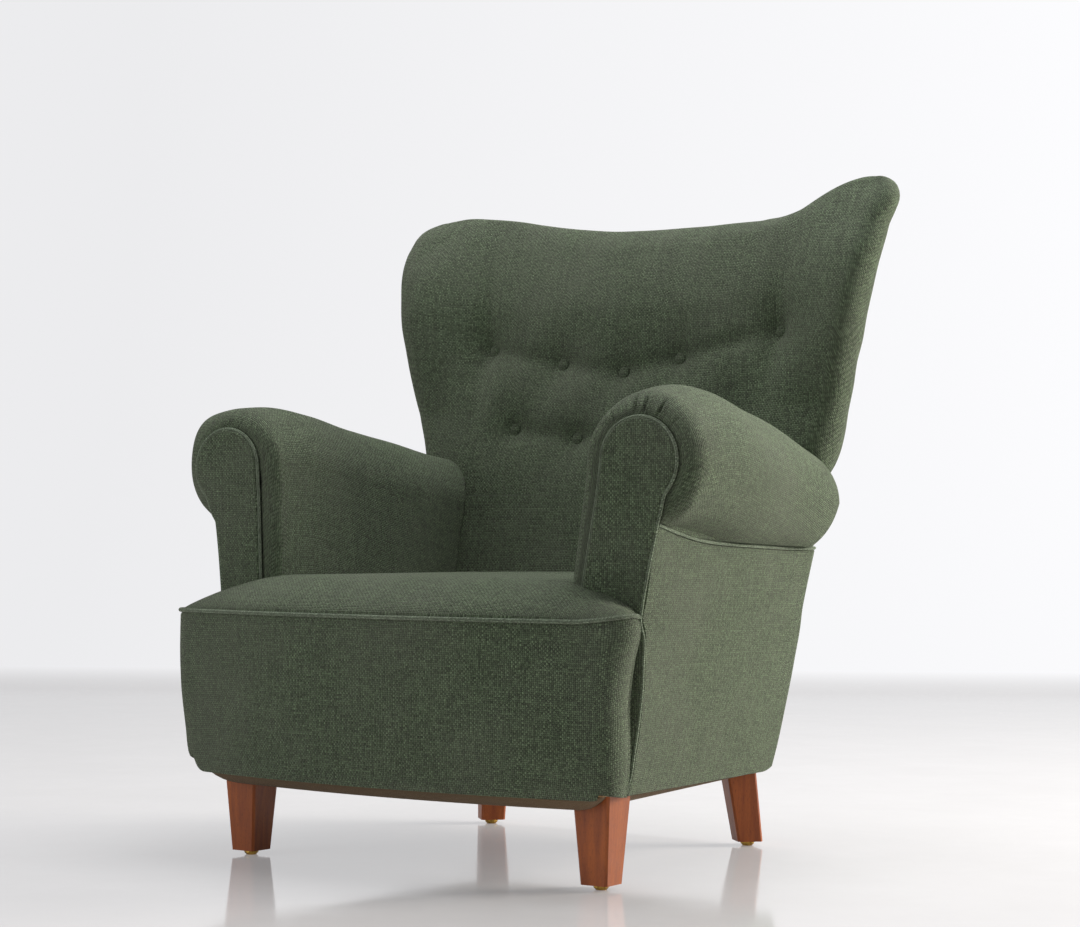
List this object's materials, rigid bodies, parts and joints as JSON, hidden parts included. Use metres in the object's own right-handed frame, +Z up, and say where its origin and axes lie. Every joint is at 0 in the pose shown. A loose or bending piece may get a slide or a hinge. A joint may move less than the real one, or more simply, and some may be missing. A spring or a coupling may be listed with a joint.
{
  "type": "wingback armchair",
  "caption": "Upholstered wingback armchair with rolled arms, a tight sprung seat with a bowed front, a buttoned back, piped edges and tapered wooden legs on glides.",
  "frame": {"origin": "centre of the chair's footprint on the floor", "axes": "+Z up from the floor, the sitter faces -Y, +X towards the sitter's left"},
  "size_m": [0.8532, 0.757, 0.9652],
  "materials": {
    "cover": "woven, dark moss green",
    "piping": "woven, worn lighter green",
    "stained_leg": "stained reddish brown, satin lacquer",
    "beech_frame": "planed, unfinished",
    "glide": "polished",
    "spring_steel": "plain wire",
    "jute": "plain woven jute"
  },
  "bodies": {
    "root": {"front_seat_rail": "beech_frame", "rear_seat_rail": "beech_frame", "crest_rail": "beech_frame", "lower_back_rail": "beech_frame", "side_seat_rail_left": "beech_frame", "side_seat_rail_right": "beech_frame", "front_corner_block_left": "beech_frame", "front_corner_block_right": "beech_frame", "rear_corner_block_left": "beech_frame", "rear_corner_block_right": "beech_frame", "arm_post_left": "beech_frame", "arm_post_right": "beech_frame", "arm_rail_left": "beech_frame", "arm_rail_right": "beech_frame", "back_post_left": "beech_frame", "back_post_right": "beech_frame", "wing_rail_left": "beech_frame", "wing_rail_right": "beech_frame", "seat_webbing": "jute", "dust_cover": "jute", "seat_spring_1": "spring_steel", "seat_spring_2": "spring_steel", "seat_spring_3": "spring_steel", "seat_spring_4": "spring_steel", "seat_spring_5": "spring_steel", "seat_spring_6": "spring_steel", "seat_spring_7": "spring_steel", "seat_spring_8": "spring_steel", "seat_spring_9": "spring_steel", "seat_cushion": "cover", "inside_back": "cover", "outside_back": "cover", "arm_pad_left": "cover", "arm_pad_right": "cover", "outside_arm_left": "cover", "outside_arm_right": "cover", "arm_facing_left": "cover", "arm_facing_right": "cover", "facing_piping_left": "piping", "facing_piping_right": "piping", "under_arm_piping_left": "piping", "under_arm_piping_right": "piping", "seat_piping": "piping", "back_button_1": "cover", "back_button_2": "cover", "back_button_3": "cover", "back_button_4": "cover", "back_button_5": "cover", "back_button_6": "cover", "back_button_7": "cover", "back_button_8": "cover", "back_button_9": "cover", "front_leg_left": "stained_leg", "front_leg_right": "stained_leg", "rear_leg_left": "stained_leg", "rear_leg_right": "stained_leg", "front_glide_left": "glide", "front_glide_right": "glide", "rear_glide_left": "glide", "rear_glide_right": "glide"}
  },
  "joints": []
}
